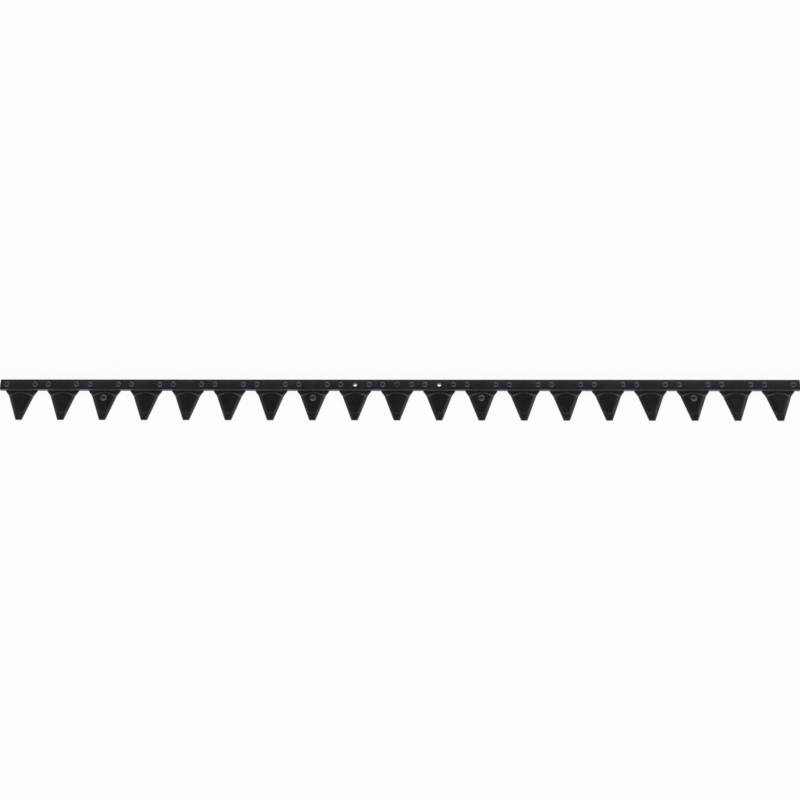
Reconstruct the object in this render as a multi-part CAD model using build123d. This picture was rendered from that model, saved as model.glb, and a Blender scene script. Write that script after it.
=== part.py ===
from build123d import *
import math
import os

# Knife of a sickle bar mower: a row of blade sections riveted under one long flat bar.
# X runs along the bar, Y towards its back edge and Z up. The origin lies on the face that slides, under
# the middle section and on the line of the rivets. Lengths are in millimetres and angles in degrees.

# Bar
sections_each_side = 9
section_pitch = 50.8
bar_width = 13.0
bar_thickness = 5.0
bar_edge_radius = 0.4

# Section outline: a heel under the bar, a short straight root, shoulders and a taper to a blunt tip.
# Lengths towards the tip are measured from the bar's front edge.
sheet_thickness = 2.0
heel_gap = 0.2
heel_setback = 0.5
heel_fillet = 0.5
root_width = 39.0
root_length = 0.3
shoulder_width = 30.8
shoulder_length = 5.8
tip_width = 7.5
tip_corner_radius = 0.5
blade_length = 37.1

# Pressed panel: an arched head towards the bar, bent over a radius, and a slope that ends before the tip
panel_rise = 1.1
panel_head_radius = 22.0
panel_setback = 2.4
panel_bend_radius = 3.0
panel_angle = 27.0
tip_land = 7.7

# Ground cutting edges: each leaves the panel almost level and steepens in an arc to the edge.
# The top of the arc lies a little above the panel.
edge_thickness = 0.6
bevel_width = 5.8
bevel_over_panel = 0.1
bevel_runout = 1.5

# Rivets through bar and section, with a round head above and a flush tail below
rivet_spacing = 34.5
rivet_diameter = 4.0
rivet_head_diameter = 6.6
rivet_head_height = 1.7
rivet_tail_diameter = 6.0
rivet_tail_depth = 1.0
centre_head_height = 0.8
rivet_clearance = 0.05

# Guide rivets in the panels of four blades. Steps are counted in sections from the middle one.
inner_guide_step = 2
outer_guide_step = 7
guide_setback = 9.2
guide_diameter = 5.0
guide_head_diameter = 8.6
guide_head_height = 2.6
guide_tail_diameter = 8.0
guide_tail_thickness = 0.8

# Open holes for the drive, one on each side of the middle section
drive_step = 1
drive_hole_diameter = 5.0

# Worked out from the sizes above
section_count = 2 * sections_each_side + 1
middle_section = sections_each_side + 1
bar_length = section_count * section_pitch
bar_front = -bar_width / 2
bar_top = sheet_thickness + bar_thickness
panel_top = sheet_thickness + panel_rise
heel_half = (section_pitch - heel_gap) / 2
heel_front = bar_front + heel_setback
heel_back = bar_width / 2 - heel_setback
tip_y = bar_front - blade_length
guide_y = bar_front - guide_setback
panel_fall = math.tan(math.radians(panel_angle))
panel_run = panel_rise / panel_fall
above_blade = panel_top + panel_rise
root_corner = (root_width / 2, heel_front)
shoulder_top = (root_width / 2, bar_front - root_length)
shoulder_foot = (shoulder_width / 2, bar_front - shoulder_length)
tip_corner = (tip_width / 2, tip_y)
rivet_places = (-rivet_spacing / 2, rivet_spacing / 2)
on_face = (Align.CENTER, Align.CENTER, Align.MIN)


def section_x(number):
    """Middle of a section along the bar, with the sections counted from 1."""
    return (number - middle_section) * section_pitch


def both_sides(step):
    """Numbers of the two sections that lie the given steps from the middle one."""
    return [middle_section - step, middle_section + step]


def outline():
    """Flat outline of one section."""
    heel = [(heel_half, heel_back), (heel_half, heel_front)]
    right = heel + [root_corner, shoulder_top, shoulder_foot, tip_corner]
    left = [(-x, y) for x, y in right]
    blank = Polygon(*left, *reversed(right), align=None)
    root_corners = blank.vertices().group_by(Axis.Y)[-2].sort_by(lambda corner: abs(corner.X))[:2]
    blank = fillet(root_corners, heel_fillet)
    return fillet(blank.vertices().group_by(Axis.Y)[0], tip_corner_radius)


def bevel_cutters(back):
    """Cutters that grind both edges, from the given way behind the shoulders to past the tip."""
    along = (Vector(*tip_corner) - Vector(*shoulder_foot)).normalized()
    outward = (-along.Y, along.X, 0)
    plane = Plane(origin=(*shoulder_foot, edge_thickness), x_dir=outward, z_dir=along)
    crest = (-bevel_width, panel_top + bevel_over_panel - edge_thickness)
    edge = (0, 0)
    arc = TangentArc(crest, edge, tangent=(1, 0))
    sides = Polyline(edge, (section_pitch, 0), (section_pitch, above_blade), (crest[0], above_blade), crest)
    right = extrude(plane * Pos(0, 0, -back) * make_face([arc, sides]), back + blade_length + tip_width)
    return [right, mirror(right, Plane.YZ)]


def panel_head():
    """Disc with a sloping rim, whose upper edge is bent over a radius."""
    bend = panel_bend_radius * math.tan(math.radians(panel_angle) / 2)
    slope_end = bend * math.cos(math.radians(panel_angle))
    bend_start = (panel_head_radius - bend, panel_rise)
    bend_end = (panel_head_radius + slope_end, panel_rise - slope_end * panel_fall)
    bent = TangentArc(bend_start, bend_end, tangent=(1, 0))
    rest = Polyline(bend_end, (panel_head_radius + panel_run, 0), (0, 0), (0, panel_rise), bend_start)
    return revolve(Plane.XZ * make_face([bent, rest]), Axis.Z)


def tip_cutter():
    """Wedge above the slope that ends the panel before the tip."""
    foot = (tip_y + tip_land, sheet_thickness)
    top = (foot[0] + (above_blade - sheet_thickness) / panel_fall, above_blade)
    past_tip = tip_y - panel_head_radius
    wedge = Polygon(foot, top, (past_tip, above_blade), (past_tip, sheet_thickness), align=None)
    return extrude(Plane.YZ * wedge, section_pitch / 2, both=True)


def panel():
    """The metal that the press lifts above the sheet."""
    head_y = bar_front - panel_setback - panel_head_radius
    lifted = Pos(0, head_y, sheet_thickness) * panel_head() - tip_cutter()
    for cutter in bevel_cutters(section_pitch):
        lifted -= cutter
    return lifted


def rivet_stem(clearance=0):
    """Shank with its flush tail, or with a clearance the hole that takes it."""
    shank = rivet_diameter / 2 + clearance
    tail = rivet_tail_diameter / 2 + clearance
    half = [(0, 0), (tail, 0), (shank, rivet_tail_depth), (shank, bar_top), (0, bar_top)]
    return revolve(Plane.XZ * Polygon(*half, align=None), Axis.Z)


def round_head(diameter, height, seat):
    """Domed rivet head on a face at the seat's height."""
    top = (0, seat + height)
    rim = (diameter / 2, seat)
    dome = TangentArc(top, rim, tangent=(1, 0))
    profile = make_face([dome, Line(rim, (0, seat)), Line((0, seat), top)])
    return revolve(Plane.XZ * profile, Axis.Z)


def drive_hole():
    """Cutter for one open hole through bar and section."""
    return Cylinder(drive_hole_diameter / 2, bar_top, align=on_face)


def plain_section():
    """One blade section with its two rivet holes, before the holes that only some sections have."""
    blade = extrude(outline(), sheet_thickness)
    for cutter in bevel_cutters(bevel_runout):
        blade -= cutter
    lifted = panel()
    blade = blade + lifted - Pos(0, 0, -sheet_thickness) * lifted
    for x in rivet_places:
        blade -= Pos(x, 0, 0) * rivet_stem(rivet_clearance)
    return blade


def guide_hole():
    """Cutter for a guide rivet's hole in the panel."""
    radius = guide_diameter / 2 + rivet_clearance
    return Pos(0, guide_y, 0) * Cylinder(radius, panel_top, align=on_face)


def section(number, plain):
    """A section at its place, with the holes of that place."""
    blade = plain
    if number == middle_section:
        blade -= rivet_stem(rivet_clearance)
    if number in both_sides(drive_step):
        blade -= drive_hole()
    if number in guide_sections:
        blade -= guide_hole()
    return Pos(section_x(number), 0, 0) * blade


def knife_bar():
    """The flat bar, with a hole for each rivet and for the drive."""
    bar = Pos(0, 0, sheet_thickness) * Box(bar_length, bar_width, bar_thickness, align=on_face)
    bar = fillet(bar.edges().filter_by(Axis.X), bar_edge_radius)
    hole = rivet_stem(rivet_clearance)
    for number in range(1, section_count + 1):
        for x in rivet_places:
            bar -= Pos(section_x(number) + x, 0, 0) * hole
    for number in both_sides(drive_step):
        bar -= Pos(section_x(number), 0, 0) * drive_hole()
    return bar - hole


def section_rivets():
    """The rivets that hold the sections, two to a section."""
    rivet = rivet_stem() + round_head(rivet_head_diameter, rivet_head_height, bar_top)
    numbers = range(1, section_count + 1)
    return [Pos(section_x(number) + x, 0, 0) * rivet for number in numbers for x in rivet_places]


def centre_rivet():
    """The flatter rivet in the middle of the bar."""
    return rivet_stem() + round_head(rivet_head_diameter, centre_head_height, bar_top)


def guide_rivets():
    """The larger rivets on the panels, with a flat tail in the hollow under the panel."""
    tail = Pos(0, 0, panel_rise - guide_tail_thickness)
    rivet = tail * Cylinder(guide_tail_diameter / 2, guide_tail_thickness, align=on_face)
    rivet += Pos(0, 0, panel_rise) * Cylinder(guide_diameter / 2, sheet_thickness, align=on_face)
    rivet += round_head(guide_head_diameter, guide_head_height, panel_top)
    return [Pos(section_x(number), guide_y, 0) * rivet for number in guide_sections]


guide_sections = sorted(both_sides(inner_guide_step) + both_sides(outer_guide_step))
os.makedirs("parts", exist_ok=True)
plain = plain_section()
nodes = {"knife_bar": knife_bar(), "centre_rivet": centre_rivet()}
nodes["section_rivets"] = Compound(children=section_rivets())
nodes["guide_rivets"] = Compound(children=guide_rivets())
for number in range(1, section_count + 1):
    nodes[f"section_{number:02d}"] = section(number, plain)
for name, piece in nodes.items():
    export_step(piece, f"parts/{name}.step")
    print(name, "volume", round(piece.volume))
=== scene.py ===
# %% [markdown]
# A mower knife is a plain thing: a flat bar, a row of pressed blades and a lot of rivets, all dipped in
# black paint. Black paint shows almost nothing of its own colour. What the eye reads is the light that
# slides off its edges and slopes, so this lesson is about shapes that catch light and about where the
# light stands. The measured solids come first, and their box is kept.

# %% Load the measured solids
import bpy
import bmesh
import math
import numpy as np
from mathutils import Matrix, Quaternion, Vector


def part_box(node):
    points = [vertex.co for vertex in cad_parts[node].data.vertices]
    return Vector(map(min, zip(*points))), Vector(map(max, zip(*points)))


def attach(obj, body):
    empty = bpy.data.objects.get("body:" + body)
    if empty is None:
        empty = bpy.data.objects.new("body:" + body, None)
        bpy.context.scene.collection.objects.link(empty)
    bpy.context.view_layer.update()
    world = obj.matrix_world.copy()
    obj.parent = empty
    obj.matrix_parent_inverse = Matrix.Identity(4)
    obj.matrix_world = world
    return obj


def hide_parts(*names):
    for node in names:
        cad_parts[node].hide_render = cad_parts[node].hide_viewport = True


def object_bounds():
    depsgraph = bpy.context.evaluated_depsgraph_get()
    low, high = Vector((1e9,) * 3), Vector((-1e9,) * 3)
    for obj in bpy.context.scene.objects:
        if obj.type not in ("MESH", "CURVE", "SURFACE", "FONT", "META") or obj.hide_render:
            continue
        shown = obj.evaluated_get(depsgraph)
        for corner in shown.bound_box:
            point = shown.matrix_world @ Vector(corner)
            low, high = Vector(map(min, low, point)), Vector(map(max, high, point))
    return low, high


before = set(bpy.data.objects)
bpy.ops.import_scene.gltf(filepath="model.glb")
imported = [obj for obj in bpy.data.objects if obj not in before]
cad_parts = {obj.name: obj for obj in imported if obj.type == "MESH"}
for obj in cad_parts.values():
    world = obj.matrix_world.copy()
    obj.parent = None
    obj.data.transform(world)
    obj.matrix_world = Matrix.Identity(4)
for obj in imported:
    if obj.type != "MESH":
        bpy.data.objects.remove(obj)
cad_low, cad_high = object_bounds()
MM = 0.001
knife_length = cad_high.x - cad_low.x
print("solids:", len(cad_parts), "knife length in mm:", round(knife_length / MM, 1))

# %% [markdown]
# The camera comes before any finish, because it decides how much of each slope is seen. The knife was
# seen from above, leaning about twenty degrees to the side of the blade tips, a little nearer to its
# right end. A level camera aimed at the middle is turned slightly about its own line of sight, so that
# the bar runs level across the picture.

# %% Camera
camera_place = Vector((0.0363, -0.5013, 1.3295))
camera_target = Vector((0.0035, -0.0174, 0.0))
camera_roll = math.radians(-3.59)
camera_lens, camera_sensor = 52.78, 36.0


def make_camera():
    """Camera above the blade tips, aimed at the middle of the knife."""
    data = bpy.data.cameras.new("knife_camera")
    data.lens = camera_lens
    data.sensor_width = camera_sensor
    data.dof.use_dof = False
    camera = bpy.data.objects.new("knife_camera", data)
    bpy.context.scene.collection.objects.link(camera)
    camera.location = camera_place
    camera.rotation_mode = "QUATERNION"
    level = (camera_target - camera_place).to_track_quat("-Z", "Y")
    camera.rotation_quaternion = level @ Quaternion((0, 0, 1), camera_roll)
    bpy.context.scene.camera = camera


make_camera()
bpy.context.scene.view_settings.view_transform = "Standard"
print("camera stands", round((camera_place - camera_target).length, 3), "m from the knife")

# %% [markdown]
# Light and paint are both made of nodes, and most of those nodes do small sums. Written out one by one
# they would bury the idea under wiring, so four helpers do the wiring. A sum takes numbers or sockets and
# gives back the socket that holds its result.

# %% Helpers for nodes
def new_material(name):
    """An empty node material, with its node tree."""
    material = bpy.data.materials.new(name)
    material.use_nodes = True
    material.node_tree.nodes.clear()
    return material, material.node_tree


def maths(tree, operation, first, second):
    """One sum on two values; each is a number or a socket."""
    node = tree.nodes.new("ShaderNodeMath")
    node.operation = operation
    for socket, value in zip(node.inputs, (first, second)):
        if isinstance(value, (int, float)):
            socket.default_value = value
        else:
            tree.links.new(value, socket)
    return node.outputs[0]


def remap(tree, value, low, high, to_low, to_high):
    """A value moved from one range to another, held at its ends."""
    node = tree.nodes.new("ShaderNodeMapRange")
    for socket, number in zip(("From Min", "From Max", "To Min", "To Max"), (low, high, to_low, to_high)):
        node.inputs[socket].default_value = number
    tree.links.new(value, node.inputs["Value"])
    return node.outputs[0]


def axes(tree, vector):
    """The X, Y and Z of a vector, as sockets by name."""
    split = tree.nodes.new("ShaderNodeSeparateXYZ")
    tree.links.new(vector, split.inputs[0])
    return split.outputs


print("helpers:", [helper.__name__ for helper in (new_material, maths, remap, axes)])

# %% [markdown]
# The stage is a pale floor and a pale wall all round. Seen by the camera and in reflections they are
# plain white, which the Light Path node allows, and all other rays meet an ordinary matt surface. A part
# of the matt surface stays in the floor's mix, so the knife keeps a soft shadow under it. In reflections
# the wall is darker on the left, where the studio had little light.

# %% White of the stage
stage_grey = 0.92
shadow_share = 0.08
wall_radius = 5.0
left_wall = 0.6
fall_start, fall_end = -0.8 * wall_radius, 0.1 * wall_radius


def stage_white(name, matt_share):
    """White to the camera and in reflections, with a share of matt surface that can hold a shadow."""
    material, tree = new_material(name)
    path = tree.nodes.new("ShaderNodeLightPath")
    seen = maths(tree, "MAXIMUM", path.outputs["Is Camera Ray"], path.outputs["Is Glossy Ray"])
    seen = maths(tree, "MAXIMUM", seen, path.outputs["Is Transmission Ray"])
    matt = tree.nodes.new("ShaderNodeBsdfDiffuse")
    matt.inputs["Color"].default_value = (stage_grey, stage_grey, stage_grey, 1)
    glow = tree.nodes.new("ShaderNodeEmission")
    mix = tree.nodes.new("ShaderNodeMixShader")
    tree.links.new(maths(tree, "MULTIPLY", seen, 1 - matt_share), mix.inputs[0])
    tree.links.new(matt.outputs[0], mix.inputs[1])
    tree.links.new(glow.outputs[0], mix.inputs[2])
    output = tree.nodes.new("ShaderNodeOutputMaterial")
    tree.links.new(mix.outputs[0], output.inputs["Surface"])
    return material, tree, glow, path


def darken_left(tree, glow, path):
    """In reflections only, the wall falls from white on the right to grey on the left."""
    place = axes(tree, tree.nodes.new("ShaderNodeTexCoord").outputs["Object"])
    fall = remap(tree, place["X"], fall_start, fall_end, left_wall, 1.0)
    fall.node.interpolation_type = "SMOOTHSTEP"
    tree.links.new(maths(tree, "MAXIMUM", path.outputs["Is Camera Ray"], fall), glow.inputs["Strength"])


floor_white = stage_white("floor_white", shadow_share)[0]
wall_white, wall_tree, wall_glow, wall_path = stage_white("wall_white", 0.0)
darken_left(wall_tree, wall_glow, wall_path)
print("whites:", [floor_white.name, wall_white.name])

# %% [markdown]
# The floor lies a fifth of a millimetre under the knife, because two faces at the same height would
# fight for the same place in the picture. The wall is a wide ring that looks inwards. It is open at the
# top, where the lamps and the air of the studio light the knife.

# %% Floor and wall
floor_half, floor_drop = 6.0, 0.2 * MM
wall_height, wall_sunk, wall_sides = 2.2, 0.01, 96


def stage_piece(name, build, white):
    """A mesh of the stage, which isn't part of the knife."""
    mesh = bpy.data.meshes.new(name)
    shape = bmesh.new()
    build(shape)
    shape.to_mesh(mesh)
    shape.free()
    mesh.materials.append(white)
    piece = bpy.data.objects.new(name, mesh)
    bpy.context.scene.collection.objects.link(piece)


def build_floor(shape):
    """A square floor just under the knife."""
    bmesh.ops.create_grid(shape, x_segments=1, y_segments=1, size=floor_half)
    bmesh.ops.translate(shape, verts=shape.verts, vec=(0, 0, cad_low.z - floor_drop))


def build_wall(shape):
    """A round wall that closes the view behind the floor."""
    ends = {"radius1": wall_radius, "radius2": wall_radius}
    bmesh.ops.create_cone(shape, segments=wall_sides, depth=wall_height, **ends)
    bmesh.ops.translate(shape, verts=shape.verts, vec=(0, 0, wall_height / 2 - wall_sunk))
    bmesh.ops.reverse_faces(shape, faces=shape.faces)


stage_piece("studio_floor", build_floor, floor_white)
stage_piece("studio_wall", build_wall, wall_white)
print("stage: floor", 2 * floor_half, "m wide, wall", wall_height, "m high")

# %% [markdown]
# Two broad lamps stand where the highlights on the real knife point, one behind the bar and one low in
# front of the tips. Nothing hangs overhead, so the level faces stay deep black while every slope and
# rivet head carries a streak of light. Each lamp is set by its brightness, so a larger lamp gives softer
# light and not a stronger streak. The front lamp is kept out of reflections, or the glossy blades would
# turn white when seen from behind.

# %% Lamps
lamp_colour = (0.91, 0.92, 1.0)


def softbox(name, place, width, height, brightness):
    """A broad lamp that looks at the middle of the knife and doesn't show itself."""
    data = bpy.data.lights.new(name, "AREA")
    data.shape = "RECTANGLE"
    data.size = width
    data.size_y = height
    data.energy = brightness * math.pi * width * height
    data.color = lamp_colour
    lamp = bpy.data.objects.new(name, data)
    lamp.location = place
    lamp.rotation_euler = (-Vector(place)).to_track_quat("-Z", "Y").to_euler()
    lamp.visible_camera = False
    bpy.context.scene.collection.objects.link(lamp)
    return lamp


front_lamp = softbox("softbox_front", place=(0.1, -2.0, 0.62), width=4.0, height=1.3, brightness=3.2)
front_lamp.visible_glossy = False
back_lamp = softbox("softbox_back", place=(0.1, 1.5, 1.0), width=3.2, height=1.0, brightness=2.3)
print("lamps:", [front_lamp.name, back_lamp.name])

# %% [markdown]
# The air of the studio gives the rest of the light. It is dim overhead and brighter towards the horizon,
# most of all on the right, and it holds a pale screen beyond each end of the knife. More lamps could do
# that too, but the world's background can read the direction of each ray and turn it into a strength,
# and such light has no borders that would show in the paint.

# %% Air of the studio
world_level = 0.10
right_level, left_level, front_level = 2.4, 0.5, 1.0
side_falloff = 4.2
screen_level = 0.24
screen_start, screen_full = 0.28, 0.40


def ahead_of(tree, part, side):
    """How far a direction points to one side, from nothing to one."""
    return maths(tree, "MAXIMUM", maths(tree, "MULTIPLY", part, side), 0.0)


def studio_air():
    """A dim world with a glow towards three sides and a screen beyond each end of the knife."""
    world = bpy.data.worlds.new("studio_air")
    world.use_nodes = True
    tree = world.node_tree
    air = tree.nodes["Background"]
    air.inputs["Color"].default_value = (*lamp_colour, 1)
    direction = axes(tree, tree.nodes.new("ShaderNodeTexCoord").outputs["Generated"])
    total = world_level
    for side in (1, -1):
        ahead = ahead_of(tree, direction["X"], side)
        screen = remap(tree, ahead, screen_start, screen_full, 0.0, screen_level)
        total = maths(tree, "ADD", screen, total)
    for axis, side, level in (("X", 1, right_level), ("X", -1, left_level), ("Y", -1, front_level)):
        ahead = ahead_of(tree, direction[axis], side)
        glow = maths(tree, "MULTIPLY", maths(tree, "POWER", ahead, side_falloff), level)
        total = maths(tree, "ADD", glow, total)
    tree.links.new(total, air.inputs["Strength"])
    bpy.context.scene.world = world


studio_air()
right_edge = world_level + screen_level + right_level
print("air: strength", world_level, "overhead,", round(right_edge, 2), "at the right horizon")

# %% [markdown]
# A few sizes are wanted by the paint as well as by the shapes. Those that the measured solids hold are
# read from their boxes, so that they can't drift apart. The rest are sizes of one blade in millimetres.

# %% Sizes of a blade
bar_low, bar_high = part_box("knife_bar")
blade_low, blade_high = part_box("section_10")
blade_count = sum(name.startswith("section_") and name[-2:].isdigit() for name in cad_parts)
pitch = knife_length / MM / blade_count
bar_front, bar_top = bar_low.y / MM, bar_high.z / MM
sheet = bar_low.z / MM
rise = blade_high.z / MM - sheet
panel_top = sheet + rise
blade_length = bar_front - blade_low.y / MM
heel_setback = 0.5
heel_front, heel_back = bar_front + heel_setback, blade_high.y / MM
heel_half = blade_high.x / MM
root_half, root_length = 19.5, 0.3
shoulder_half, shoulder_length = 15.4, 5.8
tip_half, tip_round = 3.75, 0.5
arch_radius, arch_setback = 22.0, 2.4
tip_land = 7.7
slope_end = blade_length - tip_land
print("blades:", blade_count, "pitch", round(pitch, 2), "mm, blade", round(blade_length, 1), "mm long")

# %% [markdown]
# Black paint is the one finish of the whole knife, yet it is not one colour. It pools and thins, so its
# gloss drifts over some millimetres, and it dries with a fine orange peel. Noise gives both. Textures are
# read in the knife's own coordinates, so no two blades carry the same marks.

# %% Helpers for paint
core_share = 0.3


def add(tree, kind, **values):
    """A node with its sockets and settings filled in."""
    node = tree.nodes.new(kind)
    for key, value in values.items():
        socket = key.replace("_", " ").title()
        if socket in node.inputs:
            node.inputs[socket].default_value = value
        else:
            setattr(node, key, value)
    return node


def noise(tree, place, size, detail=3.0, roughness=0.55):
    """Cloudy noise whose features are about the given size, in metres."""
    node = add(tree, "ShaderNodeTexNoise", scale=1 / size, detail=detail, roughness=roughness)
    tree.links.new(place, node.inputs["Vector"])
    return node.outputs["Fac"]


def blend(tree, share, first, second):
    """Colour between two colours by a share; each colour is a tuple or a socket."""
    node = tree.nodes.new("ShaderNodeMix")
    node.data_type = "RGBA"
    tree.links.new(share, node.inputs["Factor"])
    for socket, colour in zip((node.inputs[6], node.inputs[7]), (first, second)):
        if isinstance(colour, tuple):
            socket.default_value = (*colour, 1)
        else:
            tree.links.new(colour, socket)
    return node.outputs[2]


def near(tree, value, middle, half):
    """Share that is one around a middle value and falls to nothing at half a width from it."""
    way = maths(tree, "ABSOLUTE", maths(tree, "SUBTRACT", value, middle), 0.0)
    return remap(tree, way, half, core_share * half, 0.0, 1.0)


print("helpers:", [helper.__name__ for helper in (add, noise, blend, near)])

# %% [markdown]
# Paint draws back from sharp edges, and a Bevel node finds those: where its rounded normal departs from
# the true one, an edge is close. The lighter edges are partly worn paint and partly a painted highlight.
# Other marks go by the way a face looks: the upright walls of the bar carry painted light, and the rivet
# heads carry a painted highlight on the side that faces the tips.

# %% Worn and lit edges, painted light on the sides
edge_flat, edge_sharp, edge_samples = 0.995, 0.86, 6
# Painted light: the upright walls of the bar are painted lighter.
wall_leaning, wall_upright, bar_wall_light = 0.8, 0.35, 0.62
# Painted highlight: the rivet heads are painted lighter on the side that faces the tips.
highlight_start, highlight_full = -0.25, -0.6


def worn_and_lit_edges(tree, reach):
    """Share that is high where the surface turns within a short reach: worn paint and painted highlight on an
    edge.
    """
    rounded = add(tree, "ShaderNodeBevel", samples=edge_samples, radius=reach)
    shape = tree.nodes.new("ShaderNodeNewGeometry")
    same = add(tree, "ShaderNodeVectorMath", operation="DOT_PRODUCT")
    tree.links.new(rounded.outputs[0], same.inputs[0])
    tree.links.new(shape.outputs["Normal"], same.inputs[1])
    return remap(tree, same.outputs["Value"], edge_flat, edge_sharp, 0.0, 1.0)


def facing(tree):
    """The way that a face looks, as X, Y and Z."""
    return axes(tree, tree.nodes.new("ShaderNodeNewGeometry").outputs["Normal"])


def painted_wall_light(tree):
    """Share of painted light, high on the upright walls of the bar."""
    level = maths(tree, "ABSOLUTE", facing(tree)["Z"], 0.0)
    return remap(tree, level, wall_leaning, wall_upright, 0.0, bar_wall_light)


def painted_front_highlight(tree):
    """Share of painted highlight, high on the side of the rivet heads that faces the tips."""
    return remap(tree, facing(tree)["Y"], highlight_start, highlight_full, 0.0, 1.0)


print("paint is thinnest from a turn of", round(math.degrees(math.acos(edge_sharp))), "degrees")

# %% [markdown]
# On the blades a painted highlight runs along the bends where the press drew the sheet: round the arched
# head and along the foot of the slope. Painted light also lifts the shade on the root beside the arch, next
# to the bar. The blades are streaked towards the tip by grass. The Wrap operation folds all blades onto one,
# so that one arch serves the whole row.

# %% Painted highlights and rubs on the blades
speck_size = 1.6 * MM
arch_width, foot_width = 1.5 * MM, 2.0 * MM
arch_from, arch_full = 0.68 * arch_radius * MM, 0.84 * arch_radius * MM
foot_place, foot_share = (bar_front - slope_end + 0.8) * MM, 0.09
beside_width, beside_share = 1.2 * MM, 0.25
beside_end, beside_full = (bar_front - 7) * MM, (bar_front - 5) * MM
broken_low, broken_high, broken_least = 0.35, 0.6, 0.6
streak_size, streak_stretch = 1.1 * MM, (1.0, 0.3, 1.0)
streak_low, streak_high = 0.42, 0.72
rub_start, rub_run = (bar_front - slope_end) * MM, 5 * MM
rub_least, rub_most = 0.05, 0.34


def painted_bend_light(tree, place):
    """Share of painted highlight along the two bends of each panel, and of painted light on the root beside
    the arch.
    """
    spot = axes(tree, place)
    x = maths(tree, "WRAP", spot["X"], pitch * MM / 2)
    x.node.inputs[2].default_value = -pitch * MM / 2
    y = maths(tree, "SUBTRACT", spot["Y"], (bar_front - arch_setback - arch_radius) * MM)
    square = maths(tree, "ADD", maths(tree, "MULTIPLY", x, x), maths(tree, "MULTIPLY", y, y))
    radius = maths(tree, "SQRT", square, 0.0)
    # Painted highlight along the arched head.
    arch = near(tree, radius, arch_radius * MM, arch_width)
    arch = maths(tree, "MULTIPLY", arch, remap(tree, y, arch_from, arch_full, 0.0, 1.0))
    # A faint painted highlight along the foot of the slope.
    foot = maths(tree, "MULTIPLY", near(tree, spot["Y"], foot_place, foot_width), foot_share)
    # Painted light that lifts the shade on the root beside the arch.
    beside = remap(tree, radius, arch_radius * MM, arch_radius * MM + beside_width, 0.0, 1.0)
    root = remap(tree, spot["Y"], beside_end, beside_full, 0.0, beside_share)
    bends = maths(tree, "ADD", maths(tree, "ADD", arch, foot), maths(tree, "MULTIPLY", beside, root))
    specks = noise(tree, place, speck_size, detail=1.0)
    return maths(tree, "MULTIPLY", bends, remap(tree, specks, broken_low, broken_high, broken_least, 1.0))


def tip_rubs(tree, place):
    """Share of fine rubs along the blade, which start on the slope before the tip."""
    drawn_out = add(tree, "ShaderNodeVectorMath", operation="MULTIPLY")
    drawn_out.inputs[1].default_value = streak_stretch
    tree.links.new(place, drawn_out.inputs[0])
    streaks = noise(tree, drawn_out.outputs[0], streak_size)
    streaks = remap(tree, streaks, streak_low, streak_high, 0.0, 1.0)
    nearer_tip = remap(tree, axes(tree, place)["Y"], rub_start + rub_run, rub_start, rub_least, rub_most)
    return maths(tree, "MULTIPLY", streaks, nearer_tip)


print("rubs grow from", round(slope_end - rub_run / MM, 1), "mm out from the bar")

# %% [markdown]
# The coat itself comes next. Its colour is deepest where the paint pooled and a little lighter elsewhere,
# single specks of dust have dried into it, and the lighter edges, partly worn paint and partly painted
# highlight, go over both. The gloss drifts with the pools and is dulled by the dust. Two bumps, peel and
# sag, bend the light that slides over it. An even black would look like plastic.

# %% Coat of black paint
pool_size, pool_low, pool_high, pool_lighter = 14 * MM, 0.3, 0.7, 1.35
dust_low, dust_high, dust_share, dust_lighter = 0.70, 0.78, 0.35, 2.2
edge_least = 0.35
drift_low, drift_high, drift_down, drift_up = 0.25, 0.75, 0.05, 0.06
dust_dulls = 0.25
peel_size, peel_strength, peel_depth = 0.9 * MM, 0.35, 0.02 * MM
sag_strength, sag_depth = 0.25, 0.12 * MM


def dust(tree, place):
    """Share of dust, in a few small specks."""
    return remap(tree, noise(tree, place, speck_size, detail=1.0), dust_low, dust_high, 0.0, dust_share)


def coat(tree, place, deep, edge_colour, edge_reach):
    """Colour of the paint: deep where it pools, specked with dust, and lighter on the edges from worn paint
    and painted highlight.
    """
    pools = noise(tree, place, pool_size)
    pooled = remap(tree, pools, pool_low, pool_high, 0.0, 1.0)
    colour = blend(tree, pooled, deep, tuple(pool_lighter * c for c in deep))
    colour = blend(tree, dust(tree, place), colour, tuple(dust_lighter * c for c in deep))
    held = remap(tree, pools, pool_low, pool_high, edge_least, 1.0)
    # The edge colour is partly worn paint and partly a painted highlight.
    return blend(tree, maths(tree, "MULTIPLY", worn_and_lit_edges(tree, edge_reach), held), colour, edge_colour)


def lacquer(tree, place, colour, gloss, shine=0.5):
    """Shader of the paint, with a drifting gloss, orange peel and sags."""
    pools = noise(tree, place, pool_size)
    rough = remap(tree, pools, drift_low, drift_high, gloss - drift_down, gloss + drift_up)
    rough = maths(tree, "ADD", rough, maths(tree, "MULTIPLY", dust(tree, place), dust_dulls))
    peel = add(tree, "ShaderNodeBump", strength=peel_strength, distance=peel_depth)
    tree.links.new(noise(tree, place, peel_size, detail=2.0), peel.inputs["Height"])
    sag = add(tree, "ShaderNodeBump", strength=sag_strength, distance=sag_depth)
    tree.links.new(pools, sag.inputs["Height"])
    tree.links.new(peel.outputs[0], sag.inputs["Normal"])
    paint = tree.nodes.new("ShaderNodeBsdfPrincipled")
    tree.links.new(colour, paint.inputs["Base Color"])
    tree.links.new(rough, paint.inputs["Roughness"])
    paint.inputs["Specular IOR Level"].default_value = shine
    tree.links.new(sag.outputs[0], paint.inputs["Normal"])
    output = tree.nodes.new("ShaderNodeOutputMaterial")
    tree.links.new(paint.outputs[0], output.inputs["Surface"])


print("paint pools over about", round(pool_size / MM), "mm, its peel is", round(peel_size / MM, 1), "mm wide")

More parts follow.
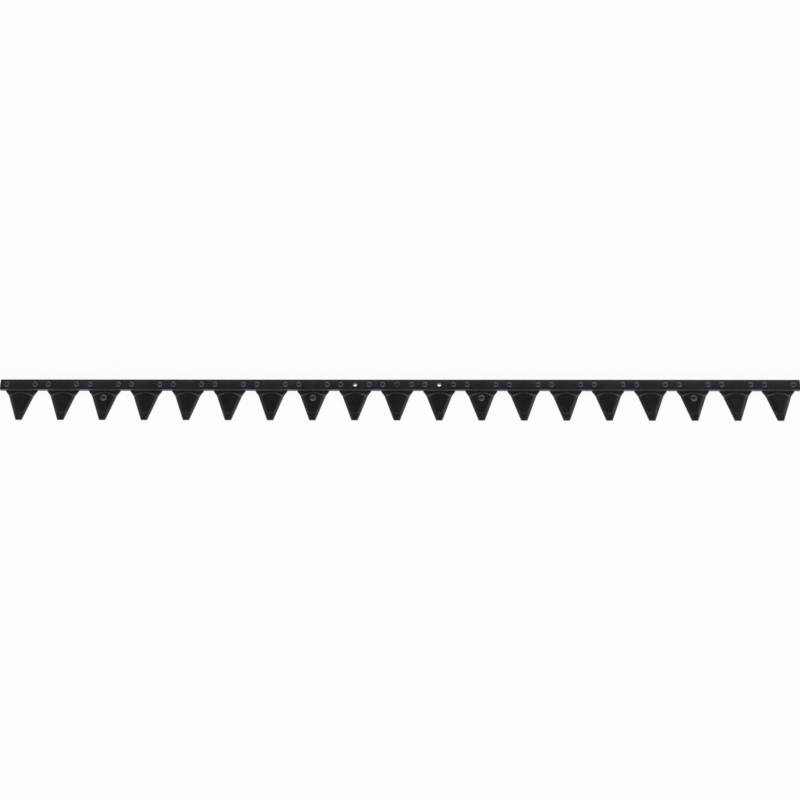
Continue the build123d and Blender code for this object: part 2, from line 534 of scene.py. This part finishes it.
# %% [markdown]
# Each kind of piece gets its own mix of depth, gloss, wear and painted light. The bar is the dullest, and
# its upright walls carry painted light. The blades are glossier, their tips are rubbed and their bends carry
# painted highlights. The rivets were struck after the first coat and shine most, and their heads carry a
# painted highlight on the side that faces the tips.

# %% Paint of the bar, the blades and the rivets
# A grey for rubbed paint at the tips, and for painted light on the bar's walls and the blades' bends.
rubbed_and_lit_grey = (0.075, 0.075, 0.084)
# A lighter grey for the painted highlight on the rivet heads.
highlight_grey = tuple(1.2 * c for c in rubbed_and_lit_grey)


def new_paint(name):
    """An empty material and the place on the knife that its textures go by."""
    material, tree = new_material(name)
    return material, tree, tree.nodes.new("ShaderNodeTexCoord").outputs["Object"]


def bar_black():
    """Dull paint, with painted light on the upright walls."""
    material, tree, place = new_paint("bar_black")
    colour = coat(tree, place, deep=(0.0062, 0.0062, 0.0080), edge_colour=(0.060, 0.060, 0.066), edge_reach=0.5 * MM)
    # Painted light on the bar's upright walls.
    colour = blend(tree, painted_wall_light(tree), colour, rubbed_and_lit_grey)
    lacquer(tree, place, colour, gloss=0.40)
    return material


def section_black():
    """Glossier paint, rubbed towards the tips, with painted highlights on the bends."""
    material, tree, place = new_paint("section_black")
    colour = coat(tree, place, deep=(0.0044, 0.0044, 0.0056), edge_colour=(0.035, 0.035, 0.040), edge_reach=0.4 * MM)
    colour = blend(tree, tip_rubs(tree, place), colour, rubbed_and_lit_grey)
    # Painted highlights on the bends and painted light beside the arch.
    colour = blend(tree, painted_bend_light(tree, place), colour, rubbed_and_lit_grey)
    lacquer(tree, place, colour, gloss=0.29)
    return material


def rivet_black():
    """Shining paint, with a painted highlight on the side of the heads that faces the tips."""
    material, tree, place = new_paint("rivet_black")
    colour = coat(tree, place, deep=(0.0180, 0.0180, 0.0210), edge_colour=(0.040, 0.040, 0.044), edge_reach=0.3 * MM)
    # Painted highlight on the side of the heads that faces the tips.
    colour = blend(tree, painted_front_highlight(tree), colour, highlight_grey)
    lacquer(tree, place, colour, gloss=0.18, shine=0.55)
    return material


slot_paint = {"bar_paint": bar_black(), "section_paint": section_black(), "rivet_paint": rivet_black()}
print("paints:", sorted(slot_paint))

# %% [markdown]
# The blades are stamped from two millimetre sheet. A press lifts a panel with an arched head, and the
# two cutting edges are ground, so light runs round every change of slope. Plain solids have creases where
# the real sheet bends in a soft curve. One blade is therefore made as two height fields, its face and its
# underside, over the same outline. The outline comes first. It averages the width a little way up and
# down the blade, and that rounds the corners of the shoulders.

# %% Outline of a blade
corner_soft = 0.5
past_bar, past_tip = 20, 5
taper = (shoulder_half - tip_half) / (blade_length - shoulder_length)
outline_out = np.array([-past_bar, root_length, shoulder_length, blade_length + past_tip])
outline_half = [root_half, root_half, shoulder_half, tip_half - past_tip * taper]


def blade_half(out):
    """Half of the blade's width at a way out from the bar's front edge, with softly rounded corners."""
    steps = (-corner_soft, 0, 0, corner_soft)
    soft = sum(np.interp(out + step, outline_out, outline_half) for step in steps) / len(steps)
    nose = np.clip(out - (blade_length - tip_round), 0, tip_round)
    return soft - (tip_round - np.sqrt(tip_round ** 2 - nose ** 2))


print("taper of a cutting edge:", round(math.degrees(math.atan(taper)), 1), "degrees")

# %% [markdown]
# The heights use a soft minimum: where two slopes meet, the lower one wins, and near the meeting line both
# are blended over a set depth. That is how a pressed sheet turns from one slope into the next.

# %% Heights of the pressed panel and the ground edges
panel_fall = math.tan(math.radians(27))
edge_thickness, edge_runout = 0.6, 1.5
bevel_width, bevel_over_panel, bevel_clear = 5.8, 0.1, 0.5
head_softness, foot_softness, grind_softness = 0.8, 0.35, 0.15


def soft_min(first, second, depth):
    """The lower of two heights, blended where they are closer than the depth."""
    close = np.maximum(depth - np.abs(first - second), 0) / depth
    return np.minimum(first, second) - close * close * depth / 4


def soft_max(first, second, depth):
    """The higher of two heights, blended in the same way."""
    return -soft_min(-first, -second, depth)


def ground_slope(x, out, runout):
    """Height of a ground flank above the sheet: level at the panel, steeper towards the cutting edge."""
    edge = shoulder_half - (out - shoulder_length) * taper
    inward = np.maximum((edge - np.abs(x)) * math.cos(math.atan(taper)), 0)
    drop = panel_top + bevel_over_panel - edge_thickness
    radius = (bevel_width ** 2 + drop ** 2) / (2 * drop)
    left = np.maximum(bevel_width - inward, 0)
    height = rise + bevel_over_panel - radius + np.sqrt(radius ** 2 - left ** 2)
    height = height + bevel_clear * np.maximum(inward - bevel_width, 0)
    return height + runout * np.maximum(shoulder_length - edge_runout - out, 0)


def pressed_lift(x, out):
    """How far the press lifts the sheet: an arched head, a level panel and a slope before the tip."""
    head = (arch_radius - np.hypot(x, out - arch_setback - arch_radius)) * panel_fall + rise
    foot = (slope_end - out) * panel_fall
    return soft_min(soft_min(head, rise, head_softness), foot, foot_softness)


def face_height(x, out):
    """Height of the blade's face."""
    lift = soft_max(pressed_lift(x, out), 0 * x, foot_softness)
    return sheet + soft_min(ground_slope(x, out, 1), lift, grind_softness)


def under_height(x, out):
    """Height of the underside, which follows the panel and lies flat elsewhere."""
    lift = soft_min(pressed_lift(x, out), ground_slope(x, out, 0), grind_softness)
    return soft_max(lift, 0 * x, foot_softness)


print("panel stands", round(rise, 2), "mm above the sheet")

# %% [markdown]
# A net of quads is laid over the outline. Its columns keep close together along the cutting edges, and its
# rows are bowed near the bar so that they run along the arched head. Lines of the net that follow the
# bends need far fewer faces than a square net would. Width and bow depend on each other, so the net is
# settled in small steps.

# %% Net of points over a blade
flank_reach, flank_narrow = 6.4, 1.3
flank_steps = np.array([0, 0.05, 0.13, 0.24, 0.36, 0.48, 0.6, 0.72, 0.84, 1.0])
inner_steps = np.linspace(-1, 1, 13)[1:-1]
column_width = np.concatenate([-np.ones(len(flank_steps)), inner_steps, np.ones(len(flank_steps))])
column_reach = np.concatenate([flank_steps, -inner_steps, -flank_steps[::-1]])
hidden_rows = np.linspace(bar_front - heel_front, 0.08, 8)
arch_rows = np.arange(0.2, 3.5, 0.16)
panel_rows = np.arange(4.0, slope_end - 3.2, 1.6)
slope_rows = np.arange(slope_end - 2.8, slope_end + 1.0, 0.4)
land_rows = np.arange(slope_end + 1.6, blade_length - 1.4, 1.1)
tip_rows = blade_length - np.array([1, 0.6, 0.3, 0.12, 0.03, 0])
row_out = np.concatenate([hidden_rows, arch_rows, panel_rows, slope_rows, land_rows, tip_rows])
row_bow = np.interp(row_out, [hidden_rows[0], arch_rows[0], arch_rows[-1], slope_rows[0]], [0, 1, 1, 0])
bow_radius = arch_radius + 1
settle_rounds = 40


def blade_net():
    """Points of the net: across and out from the bar's front edge, in millimetres."""
    straight = row_out[:, None] + 0 * column_width[None, :]
    out = straight.copy()
    for _ in range(settle_rounds):
        half = blade_half(out)
        reach = flank_reach * np.minimum(1, half / (flank_narrow * flank_reach))
        x = column_width * half + column_reach * reach
        bowed = bow_radius - np.sqrt(bow_radius ** 2 - x ** 2)
        out = 0.5 * out + 0.5 * np.minimum(straight + row_bow[:, None] * bowed, blade_length)
    return x, out


net_x, net_out = blade_net()
print("net:", net_x.shape[0], "rows by", net_x.shape[1], "columns")

# %% [markdown]
# Every shape from here on is a list of points in millimetres and a list of faces. Two helpers turn such
# lists into a good mesh. The first makes all faces look outwards. The second gives sharp corners a tiny
# round, because a dead sharp corner never catches light and paint never sits on one.

# %% Helpers for meshes
round_steps = 2


def mesh_from(name, points, faces):
    """A mesh from points in millimetres, with faces that all look outwards."""
    mesh = bpy.data.meshes.new(name)
    mesh.from_pydata([tuple(c * MM for c in point) for point in points], [], faces)
    shape = bmesh.new()
    shape.from_mesh(mesh)
    bmesh.ops.recalc_face_normals(shape, faces=shape.faces)
    shape.to_mesh(mesh)
    shape.free()
    return mesh


def round_corners(mesh, width, least_angle):
    """A small round along every edge that turns more than the given angle."""
    shape = bmesh.new()
    shape.from_mesh(mesh)
    turn = math.radians(least_angle)
    edges = [edge for edge in shape.edges if edge.is_manifold and edge.calc_face_angle() > turn]
    bmesh.ops.bevel(shape, geom=edges, offset=width * MM, segments=round_steps, profile=0.5, affect="EDGES")
    shape.to_mesh(mesh)
    shape.free()


print("helpers:", [helper.__name__ for helper in (mesh_from, round_corners)])

# %% [markdown]
# The net becomes a closed blade: the face, the underside, the cutting edges between them and the heel that
# disappears under the bar. A Solidify modifier could thicken a single sheet, but the ground edges are
# thinner than the rest, so both sides are laid by their own heights.

# %% Blade from the net
corner_round, corner_turn = 0.12, 40


def blade_blank():
    """One blade without holes, with its middle on the line x = 0."""
    rows, columns = net_x.shape
    y = bar_front - net_out
    face = np.stack([net_x, y, face_height(net_x, net_out)], axis=2).reshape(-1, 3)
    under = np.stack([net_x, y, under_height(net_x, net_out)], axis=2).reshape(-1, 3)
    right_heel = [(heel_half, heel_back), (heel_half, heel_front)]
    heel = [(-x, y) for x, y in reversed(right_heel)] + right_heel
    points = [*face, *under, *[(*p, sheet) for p in heel], *[(*p, 0.0) for p in heel]]
    count = rows * columns
    top = np.arange(count).reshape(rows, columns)
    low = top + count
    heel_top = list(range(2 * count, 2 * count + len(heel)))
    heel_low = [corner + len(heel) for corner in heel_top]
    faces = []
    for r in range(rows - 1):
        for c in range(columns - 1):
            for net in (top, low):
                faces.append([net[r, c], net[r, c + 1], net[r + 1, c + 1], net[r + 1, c]])
        for c in (0, columns - 1):
            faces.append([top[r, c], top[r + 1, c], low[r + 1, c], low[r, c]])
    for c in range(columns - 1):
        faces.append([top[-1, c], top[-1, c + 1], low[-1, c + 1], low[-1, c]])
    for corners, net in ((heel_top, top), (heel_low, low)):
        faces.append([*corners, *net[0, ::-1]])
    ring_top = [top[0, 0], *heel_top, top[0, -1]]
    ring_low = [low[0, 0], *heel_low, low[0, -1]]
    for k in range(len(ring_top) - 1):
        faces.append([ring_top[k], ring_top[k + 1], ring_low[k + 1], ring_low[k]])
    mesh = mesh_from("blade", points, [[int(v) for v in f] for f in faces])
    round_corners(mesh, corner_round, corner_turn)
    return mesh


blank = blade_blank()
print("blank blade:", len(blank.polygons), "faces")

# %% [markdown]
# Rivets are turned shapes, and so are the drills that make way for them. A profile of radius and height,
# turned about a standing axis, gives both, and a second helper repeats a turned shape at many places.

# %% Turned shapes
turned_sides = 48


def turned(profile):
    """Points and faces of a profile of radius and height turned about a standing axis."""
    points = []
    rings = []
    for radius, height in profile:
        if radius == 0:
            rings.append([len(points)] * turned_sides)
            points.append((0.0, 0.0, height))
            continue
        rings.append(list(range(len(points), len(points) + turned_sides)))
        for k in range(turned_sides):
            angle = 2 * math.pi * k / turned_sides
            points.append((radius * math.cos(angle), radius * math.sin(angle), height))
    faces = []
    for lower, upper in zip(rings, rings[1:]):
        for k in range(turned_sides):
            n = (k + 1) % turned_sides
            corners = [lower[k], lower[n], upper[n], upper[k]]
            faces.append(list(dict.fromkeys(corners)))
    return points, faces


def at_places(turned_piece, places):
    """The same turned piece repeated at places along and across the bar."""
    points, faces = [], []
    for x, y in places:
        start = len(points)
        points += [(px + x, py + y, pz) for px, py, pz in turned_piece[0]]
        faces += [[v + start for v in f] for f in turned_piece[1]]
    return points, faces


print("a turned shape has", turned_sides, "sides")

# %% [markdown]
# Holes are cut with a boolean, once for each kind of blade: plain ones, the two with a drive hole, the one
# in the middle with a third rivet and the four with a guide rivet. The rivet holes are wider at the bottom,
# where the rivet's tail is hammered flush.

# %% Holes in the blades
rivet_side = 17.25
rivet_radius, tail_radius, tail_depth = 2.0, 3.0, 1
guide_radius, guide_y = 2.5, bar_front - 9.2
drive_radius = 2.5
clearance = 0.05
below, above_bar, above_blade = -0.5, bar_top + 1, 5
tail_hole, shank_hole = tail_radius + clearance, rivet_radius + clearance
stem_profile = [(0, below), (tail_hole, below), (tail_hole, 0)]
stem_profile += [(shank_hole, tail_depth), (shank_hole, above_bar), (0, above_bar)]


def plain_profile(radius, above):
    """Profile of a plain drill, from below the knife to the given height."""
    return [(0, below), (radius, below), (radius, above), (0, above)]


def cut(mesh, cutters):
    """The mesh with all cutters taken away."""
    block = bpy.data.objects.new("block", mesh.copy())
    bpy.context.scene.collection.objects.link(block)
    for number, (points, faces) in enumerate(cutters):
        tool = bpy.data.objects.new("tool", mesh_from("tool", points, faces))
        bpy.context.scene.collection.objects.link(tool)
        step = block.modifiers.new(f"cut_{number}", "BOOLEAN")
        step.operation = "DIFFERENCE"
        step.solver = "EXACT"
        step.object = tool
    view = bpy.context.evaluated_depsgraph_get()
    result = bpy.data.meshes.new_from_object(block.evaluated_get(view))
    for helper in [step.object for step in block.modifiers] + [block]:
        bpy.data.objects.remove(helper)
    return result


rivet_drill = turned(stem_profile)
drive_drill = turned(plain_profile(drive_radius, above_bar))
guide_drill = turned(plain_profile(guide_radius + clearance, above_blade))
side_holes = at_places(rivet_drill, [(-rivet_side, 0), (rivet_side, 0)])
extra_holes = {
    "plain": [],
    "drive": [drive_drill],
    "middle": [rivet_drill],
    "guide": [at_places(guide_drill, [(0, guide_y)])],
}
blade_kinds = {kind: cut(blank, [side_holes, *extra]) for kind, extra in extra_holes.items()}
print({kind: len(mesh.polygons) for kind, mesh in blade_kinds.items()})

# %% [markdown]
# Each blade then takes its place on the bar. The points themselves are moved, not the object, so that the
# paint's textures, which are read in the knife's coordinates, differ from blade to blade.

# %% Row of blades
smooth_turn = 32
special = {3: "guide", 8: "guide", 9: "drive", 10: "middle", 11: "drive", 12: "guide", 17: "guide"}


def knife_piece(name, mesh, node, slot):
    """A finished piece of the knife that takes the place of a measured solid."""
    mesh.polygons.foreach_set("use_smooth", [True] * len(mesh.polygons))
    mesh.set_sharp_from_angle(angle=math.radians(smooth_turn))
    mesh.materials.clear()
    mesh.materials.append(slot_paint[slot])
    piece = bpy.data.objects.new(name, mesh)
    bpy.context.scene.collection.objects.link(piece)
    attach(piece, "root")
    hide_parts(node)


def section_x(number):
    """Middle of a blade along the bar, counted from 1."""
    return (number - (blade_count + 1) / 2) * pitch


for number in range(1, blade_count + 1):
    mesh = blade_kinds[special.get(number, "plain")].copy()
    mesh.transform(Matrix.Translation((section_x(number) * MM, 0, 0)))
    knife_piece(f"blade_{number:02d}", mesh, f"section_{number:02d}", "section_paint")
print("blades in place:", blade_count)

# %% [markdown]
# The bar is rolled flat steel. Rolling leaves its faces very slightly crowned and its long edges round,
# which is why the bar is a little brighter along its back. A cross section is drawn out along the bar and
# the holes are cut through it.

# %% Bar
bar_half = bar_high.y / MM
bar_half_length = bar_high.x / MM
bar_crown, bar_round = 0.25, 0.4
foot_round, foot_middle = 0.4, 0.12
corner_points, crown_points = 7, 15
bar_steps = 4 * blade_count


def bar_section():
    """Cross section of the bar: crowned faces and round edges, as points across and up."""
    corner = [(math.cos(a), math.sin(a)) for a in np.linspace(0, math.pi / 2, corner_points)]
    inner = bar_half - bar_round
    edge_top = bar_top - bar_crown - bar_round
    back = [(inner + bar_round * c, edge_top + bar_round * s) for c, s in corner]
    across = np.linspace(inner, -inner, crown_points)[1:-1]
    crown = [(y, bar_top - bar_crown * (y / inner) ** 2) for y in across]
    front = [(-y, z) for y, z in reversed(back)]
    foot = [(0, foot_round), (foot_middle, foot_middle), (foot_round, 0)]
    under = [(-bar_half + inward, sheet + up) for inward, up in foot]
    return back + crown + front + under + [(-y, z) for y, z in reversed(under)]


def drawn_bar():
    """The cross section drawn out in steps along the bar, closed at both ends."""
    section = bar_section()
    stations = np.linspace(-bar_half_length, bar_half_length, bar_steps + 1)
    points = [(x, y, z) for x in stations for y, z in section]
    size = len(section)
    faces = []
    for s in range(bar_steps):
        for k in range(size):
            n = (k + 1) % size
            a, b = s * size, (s + 1) * size
            faces.append([a + k, a + n, b + n, b + k])
    faces.append(list(range(size)))
    faces.append(list(range(len(points) - size, len(points))))
    return mesh_from("bar", points, faces)


rivet_places = [(section_x(n) + side * rivet_side, 0) for n in range(1, blade_count + 1) for side in (-1, 1)]
drive_places = [(section_x(n), 0) for n, kind in special.items() if kind == "drive"]
bar_holes = [at_places(rivet_drill, rivet_places + [(0, 0)]), at_places(drive_drill, drive_places)]
bar_mesh = cut(drawn_bar(), bar_holes)
knife_piece("flat_bar", bar_mesh, "knife_bar", "bar_paint")
print("bar:", len(bar_mesh.polygons), "faces")

# %% [markdown]
# Rivet heads are set with a hollow punch. No two blows are the same, so every head leans a little and is
# pressed a little more or less. A fixed seed keeps the same heads every time the lesson runs.

# %% Rivets
chance = np.random.default_rng(7)
head_lip, head_tuck, head_fullness, dome_points = 0.18, 0.06, 0.9, 13
head_lean, head_press = 0.07, 0.07
head_radius, head_height, centre_height = 3.3, 1.7, 0.8
guide_head_radius, guide_head_height = 4.3, 2.6
guide_tail_radius, guide_tail_low, guide_tail_high = 4.0, 0.3, 1.1


def head_profile(radius, height, seat):
    """Profile of a round head from its rim to the top: a short lip, then a flattened dome."""
    rim = seat + head_lip
    angles = np.linspace(0, math.pi / 2, dome_points)[1:-1]
    dome = [(radius * math.cos(a) ** head_fullness, rim + (height - head_lip) * math.sin(a)) for a in angles]
    return [(radius - head_tuck, seat), (radius, rim)] + dome + [(0, seat + height)]


def rivet_row(stem, radius, height, seat, places):
    """Rivets with their own lean and height, never higher than the measured head."""
    points, faces = [], []
    for x, y in places:
        lean = chance.normal(0, head_lean, 2)
        press = 1 - head_press * chance.random()
        piece = turned(stem + head_profile(radius, height * press, seat))
        start = len(points)
        for px, py, pz in piece[0]:
            above = max(pz - seat, 0)
            points.append((px + x + lean[0] * above, py + y + lean[1] * above, pz))
        faces += [[v + start for v in f] for f in piece[1]]
    return mesh_from("rivets", points, faces)


stem = [(0, 0), (tail_radius, 0), (rivet_radius, tail_depth), (rivet_radius, bar_top)]
guide_stem = [(0, guide_tail_low), (guide_tail_radius, guide_tail_low), (guide_tail_radius, guide_tail_high)]
guide_stem += [(guide_radius, guide_tail_high), (guide_radius, panel_top)]
guide_places = [(section_x(n), guide_y) for n, kind in special.items() if kind == "guide"]
section_mesh = rivet_row(stem, head_radius, head_height, bar_top, rivet_places)
centre_mesh = rivet_row(stem, head_radius, centre_height, bar_top, [(0, 0)])
guide_mesh = rivet_row(guide_stem, guide_head_radius, guide_head_height, panel_top, guide_places)
knife_piece("rivets_of_the_blades", section_mesh, "section_rivets", "rivet_paint")
knife_piece("rivet_in_the_middle", centre_mesh, "centre_rivet", "rivet_paint")
knife_piece("guide_rivet_heads", guide_mesh, "guide_rivets", "rivet_paint")
print("rivets:", len(rivet_places) + 1 + len(guide_places))
